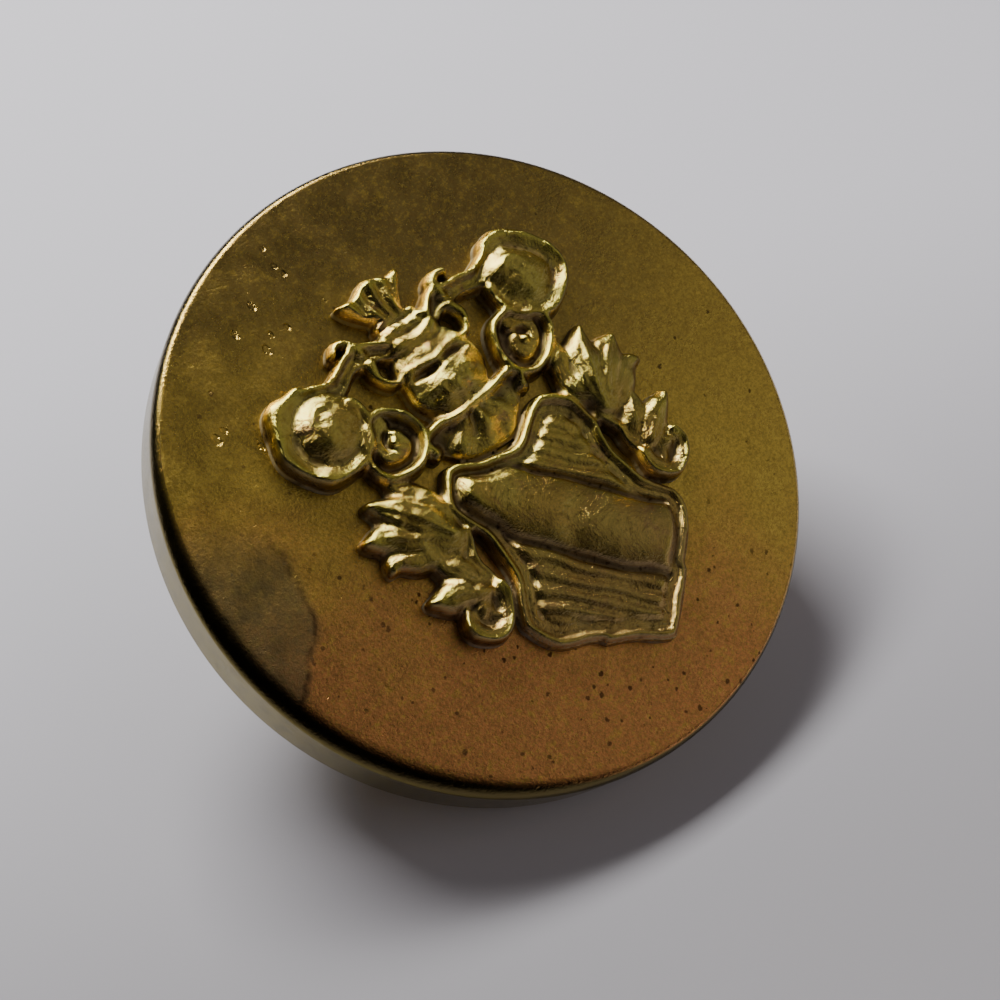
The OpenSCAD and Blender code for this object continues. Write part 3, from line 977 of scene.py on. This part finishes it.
def metal_grain(shader, depth, seed=0.0):
    """Fine orange-peel grain with a wider unevenness, as a surface normal."""
    fine = shader.noise(14, 4.0, 0.65, seed=seed)
    wide = shader.noise(2.2, 2.0, 0.5, seed=seed + 3)
    normal = shader.bump(wide, 0.25, 0.03 * depth)
    return shader.bump(fine, 0.6, 0.023 * depth, normal)


def gilt_face_material():
    """Olive, yellow and copper gilding with a smudge, specks and nicks, a painted dark reflection
    on the shoulder and a darker side. The tones across the face are partly tarnish and partly
    painted reflection.
    """
    s = Shader("gilt_face")
    level = s.dot(s.place, (0, 0, 1))
    # Partly a tarnish tint, partly painted reflection and light: the face is painted olive and
    # darker at the top-left, yellower and brighter to the right, and copper at the bottom.
    downward = s.dot(s.place, (-0.62 / BUTTON_R, -0.78 / BUTTON_R, 0))
    rightward = s.dot(s.place, (0.676 / BUTTON_R, -0.665 / BUTTON_R, 0))
    wander = s.times(s.minus(s.noise(0.45, 3.0), 0.5), 0.7)
    low = s.plus(downward, wander)
    colour = s.mix(s.ramp(low, -0.7, 0.2), OLIVE_GILT, YELLOW_GILT)
    colour = s.mix(s.ramp(rightward, -0.1, 0.9, 0.0, 0.72), colour, YELLOW_GILT)
    colour = s.mix(s.ramp(low, 0.0, 0.72), colour, COPPER_GILT)
    patch = s.noise(5.0, 5.0, 0.75, seed=19)
    colour = s.mix(s.ramp(patch, 0.5, 0.66, 0.0, 0.5), colour, YELLOW_GILT)
    colour = s.mix(s.ramp(patch, 0.48, 0.34, 0.0, 0.3), colour, OLIVE_GILT)
    glint = s.noise(15, 3.0, 0.8, seed=47)
    colour = s.mix(s.ramp(glint, 0.53, 0.66, 0.0, 0.55), colour, YELLOW_GILT)
    mottle = s.noise(3.2, 4.0, 0.65, seed=5)
    colour = s.mix(s.ramp(mottle, 0.42, 0.75, 0.0, 0.15), colour, TARNISH)
    sand = s.noise(13, 5.0, 0.85, seed=15)
    colour = s.mix(s.ramp(sand, 0.4, 0.62, 0.0, 0.5), colour, TARNISH)
    freckle = s.noise(9, 3.0, 0.7, seed=9)
    colour = s.mix(s.ramp(freckle, 0.6, 0.74, 0.0, 0.4), colour, TARNISH)
    marks = s.times(s.spots(3.2, 0.24, 6.0), s.ramp(low, 0.0, 0.5, 0.25, 1.0))
    specks = s.math("MAXIMUM", s.spots(1.9, 0.15, 2.0), marks)
    colour = s.mix(s.times(specks, 0.8), colour, DARK_SPECK)
    smudge = s.ellipse(*SMUDGE, soft=0.15)
    fade = s.ramp(downward, 0.12, 0.42)
    grime = s.times(s.times(smudge, fade), s.ramp(mottle, 0.3, 0.7, 0.6, 0.78))
    colour = s.mix(grime, colour, GREY_FILM)
    x, y, rx, ry, turn = SMUDGE
    inner_edge = s.ellipse(x, y, rx - TIDE_WIDTH, ry - TIDE_WIDTH, turn, soft=0.06)
    tide = s.times(s.minus(s.ellipse(*SMUDGE, soft=0.06), inner_edge), fade)
    tide = s.times(tide, s.ramp(mottle, 0.35, 0.6, 0.15, 0.7))
    colour = s.mix(tide, colour, DARK_SPECK)
    # Painted dark reflection: the shoulder, just below the face, is painted near black.
    colour = s.mix(s.ramp(level, FACE_Z - 0.005, FACE_Z - 0.06), colour, SHOULDER_PAINTED_DARK)
    side = s.ramp(level, FACE_Z - 0.16, FACE_Z - 0.32)
    colour = s.mix(side, colour, s.mix(s.ramp(mottle, 0.4, 0.7), SIDE_BRASS, SIDE_TARNISH))
    rough = s.ramp(s.noise(1.1, 4.0, 0.6, seed=1), 0.3, 0.7, 0.24, 0.36)
    rough = s.plus(rough, s.times(smudge, 0.06))
    rough = s.plus(rough, s.times(specks, 0.2))
    rough = s.times(rough, s.ramp(level, FACE_Z - 0.03, FACE_Z - 0.002, 0.45, 1.0))
    normal = metal_grain(s, 1.0)
    pits = s.plus(s.spots(1.1, 0.08, 7.0), s.spots(2.3, 0.1, 4.0))
    normal = s.bump(s.minus(1.0, pits), 0.4, 0.012, normal)
    normal = s.bump(scratches(s), 0.35, 0.006, normal)
    nicks = s.times(s.spots(2.6, 0.3, 12.0, (1.0, 0.6, 1.0)), s.ellipse(*NICKED))
    normal = s.bump(s.minus(1.0, nicks), 1.0, 0.03, normal)
    return s.finish(colour, rough, normal)


def scratches(s):
    """Sparse fine lines in three directions on the face."""
    total = 1.0
    for turn, scale, seed in ((25, 0.9, 1.0), (112, 0.7, 4.0), (160, 1.1, 8.0)):
        a = math.radians(turn)
        along = s.times(s.dot(s.place, (math.cos(a), math.sin(a), 0)), 0.12)
        over = s.times(s.dot(s.place, (-math.sin(a), math.cos(a), 0)), 6.0)
        where = s.add("CombineXYZ", X=along, Y=over)
        line = s.noise(scale, 1.0, 0.4, place=where.outputs["Vector"], seed=seed)
        total = s.minus(total, s.ramp(line, 0.7, 0.78))
    return total


def gilt_emblem_material():
    """Bright gilding, russet at the foot, with painted shade and dirt in the hollows, painted shade
    on the flanks that turn away from the window light, and a pale cut edge.
    """
    s = Shader("gilt_emblem")
    hollow = s.add("Attribute", {"attribute_name": "hollow"}).outputs["Fac"]
    flank = s.add("Attribute", {"attribute_name": "flank"}).outputs["Fac"]
    tint = s.noise(0.9, 3.0, 0.6, seed=11)
    colour = s.mix(s.ramp(tint, 0.35, 0.65), PALE_GILT, WARM_GILT)
    blush = s.noise(1.9, 3.0, 0.6, seed=21)
    colour = s.mix(s.ramp(blush, 0.58, 0.72, 0.0, 0.55), colour, ROSE_TINT)
    upward = s.dot(s.place, (0.15, 1, 0))
    colour = s.mix(s.ramp(upward, 0.5, -4.5, 0.0, 0.6), colour, RUSSET)
    # Painted shade, with grime: the hollows are painted darker.
    colour = s.mix(s.ramp(hollow, -0.05, -0.6, 0.0, 0.9), colour, SHADE_AND_GRIME)
    colour = s.mix(s.ramp(hollow, 0.15, 0.8, 0.0, 0.5), colour, BRIGHT_GILT)
    # Painted shade, with grime: steep flanks are painted dark, except where they face up the emblem
    # towards the window light.
    colour = s.mix(s.ramp(flank, 0.0, 1.0, 0.0, 0.8), colour, SHADE_AND_GRIME)
    dirt_cloud = s.noise(1.1, 3.0, 0.6, seed=27)
    dirt = s.noise(7, 4.0, 0.7, seed=13)
    dirt = s.times(s.ramp(dirt, 0.5, 0.68), s.ramp(hollow, 0.3, -0.5, 0.15, 0.9))
    colour = s.mix(dirt, colour, DARK_SPECK)
    rough = s.ramp(s.noise(2.4, 4.0, 0.6, seed=2), 0.3, 0.7, 0.14, 0.24)
    rough = s.plus(rough, s.ramp(hollow, 0.0, -0.6, 0.0, 0.2))
    cut = s.ramp(s.dot(s.place, (0, 0, 1)), FACE_Z + 0.2, FACE_Z + 0.13)
    cut = s.times(cut, s.ramp(dirt_cloud, 0.6, 0.45, 0.2, 1.0))
    colour = s.mix(cut, colour, CUT_EDGE)
    rough = s.plus(rough, s.times(cut, 0.3))
    normal = metal_grain(s, 1.2, 6.0)
    creases = s.noise(4.5, 6.0, 0.75, seed=17)
    normal = s.bump(creases, 0.5, 0.045, normal)
    return s.finish(colour, rough, normal)


def brass_material(name):
    """Plain brass with tarnish clouds, dark specks and grain."""
    light, dark, roughness, seed = BRASSES[name]
    s = Shader(name)
    cloud = s.noise(1.3, 5.0, 0.6, seed=seed)
    colour = s.mix(s.ramp(cloud, 0.38, 0.64), light, dark)
    freckle = s.noise(9, 3.0, 0.7, seed=seed + 2)
    colour = s.mix(s.ramp(freckle, 0.58, 0.72, 0.0, BRASS_WEAR), colour, DARK_SPECK)
    specks = s.spots(1.8, 0.15, seed)
    colour = s.mix(s.times(specks, BRASS_WEAR), colour, DARK_SPECK)
    rough = s.ramp(cloud, 0.35, 0.7, roughness - 0.05, roughness + 0.12)
    normal = metal_grain(s, 1.3, seed)
    normal = s.bump(s.minus(1.0, specks), 0.5, 0.015, normal)
    return s.finish(colour, rough, normal)


def card_material():
    """Grey-brown pasteboard: fibres, flecks and a matt surface."""
    s = Shader("card", metallic=0.0, roughness=0.9)
    squeezed = s.vmath("MULTIPLY", s.place, (1.0, 4.0, 9.0))
    fibre = s.noise(3.5, 5.0, 0.75, place=squeezed)
    colour = s.mix(s.ramp(fibre, 0.35, 0.65), CARD_LIGHT, CARD_DARK)
    fleck = s.noise(12, 2.0, 0.6, seed=4)
    colour = s.mix(s.ramp(fleck, 0.62, 0.7, 0.0, 0.6), colour, CARD_FLECK)
    normal = s.bump(fibre, 0.7, 0.03)
    return s.finish(colour, s.ramp(fleck, 0.3, 0.7, 0.8, 0.95), normal)


def floor_material(dims_towards):
    """Pale matt paper with painted shade that dims it away from the window, and clear when seen or
    lit from below.
    """
    s = Shader("studio_floor", metallic=0.0, roughness=0.85)
    s.surface.inputs["Specular IOR Level"].default_value = 0.2
    away = s.dot(s.place, tuple(dims_towards))
    # Painted shade: the paper's colour darkens away from the window.
    colour = s.mix(s.ramp(away, *FLOOR_DIMS_OVER), FLOOR_COLOUR, FLOOR_SHADE)
    grain = s.noise(6, 4.0, 0.6)
    s.finish(colour, normal=s.bump(grain, 0.1, 0.02))
    clear = s.add("BsdfTransparent")
    from_below = s.add("NewGeometry").outputs["Backfacing"]
    s.choose(from_below, s.surface, clear, "Material Output")
    return s.material


# ---- studio
def make_floor():
    """Tilted plane that touches the rim and the end of the shank."""
    turn = FLOOR_NORMAL.to_track_quat("Z", "Y").to_matrix().to_4x4()
    half = FLOOR_HALF * MM
    corners = [(-half, -half, 0), (half, -half, 0), (half, half, 0), (-half, half, 0)]
    mesh = new_mesh("studio_floor", corners, [(0, 1, 2, 3)])
    floor = add_object("studio_floor", mesh, smooth=False)
    floor.matrix_world = Matrix.Translation(FLOOR_NORMAL * FLOOR_OFFSET * MM) @ turn
    floor.data.materials.append(floor_material(turn.inverted() @ Vector(FLOOR_DIMS_TOWARDS)))


def make_world():
    """Dim grey room with one pale and one dark patch. The camera itself sees a pale backdrop."""
    world = bpy.data.worlds.new("studio")
    bpy.context.scene.world = world
    world.use_nodes = True
    n = Nodes(world.node_tree)
    place = n.add("TexCoord").outputs["Generated"]
    sky = ROOM
    for direction, start, end, colour in SKY_PATCHES:
        near = n.dot(place, Vector(direction).normalized())
        sky = n.mix(n.ramp(near, start, end), sky, colour)
    room = n.tree.nodes["Background"]
    n.set(room.inputs["Color"], sky)
    backdrop = n.add("Background", Color=(*BACKDROP, 1.0))
    seen = n.add("LightPath").outputs["Is Camera Ray"]
    n.choose(seen, room, backdrop, "World Output")


def add_light(name, direction, distance, size, watts, colour, mirrored=True):
    """Area light that faces the button, sizes in mm. The camera never sees the lamp itself."""
    data = bpy.data.lights.new(name, "AREA")
    data.shape = "RECTANGLE"
    data.size, data.size_y = size[0] * MM, size[1] * MM
    data.energy = watts
    data.color = colour
    light = link(name, data)
    way = Vector(direction).normalized()
    light.location = way * distance * MM + Vector((0, 0, FACE_Z * MM))
    light.rotation_euler = way.to_track_quat("Z", "Y").to_euler()
    light.visible_camera = False
    light.visible_glossy = mirrored


def assemble():
    """Puts five finer pieces in place of their CAD nodes, and gives the hidden nodes looks."""
    build_relief()
    emblem = add_object("struck_emblem", relief_mesh("struck_emblem"))
    pieces = (
        (make_shell(), 35, "face_shell", "gilt_face", gilt_face_material()),
        (emblem, 60, "emblem", "gilt_emblem", gilt_emblem_material()),
        (make_back(), 50, "back_plate", "back_brass", brass_material("back_brass")),
        (make_collar(), 50, "shank_collar", "back_brass", brass_material("collar_brass")),
        (make_shank(), 40, "shank_loop", "wire_brass", brass_material("wire_brass")),
    )
    for piece, sharp, node, slot, material in pieces:
        piece.data.set_sharp_from_angle(angle=math.radians(sharp))
        piece.data.materials.clear()
        piece.data.materials.append(material)
        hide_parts(node)
        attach(piece, BODY)
    hidden_parts = (
        ("emblem_lug_upper", brass_material("lug_brass_upper")),
        ("emblem_lug_lower", brass_material("lug_brass_lower")),
        ("filler_disc", card_material()),
        ("anchor_washer", brass_material("washer_brass")),
    )
    for node, material in hidden_parts:
        for slot in bpy.data.objects[node].material_slots:
            slot.material = material


make_camera()
make_floor()
make_world()
add_light("window", (0.15, 0.93, 0.34), 120, (86, 34), 0.26, WINDOW_LIGHT)
add_light("fill", (0.3, -0.5, 0.8), 150, (150, 150), 0.09, FILL_LIGHT, mirrored=False)
assemble()
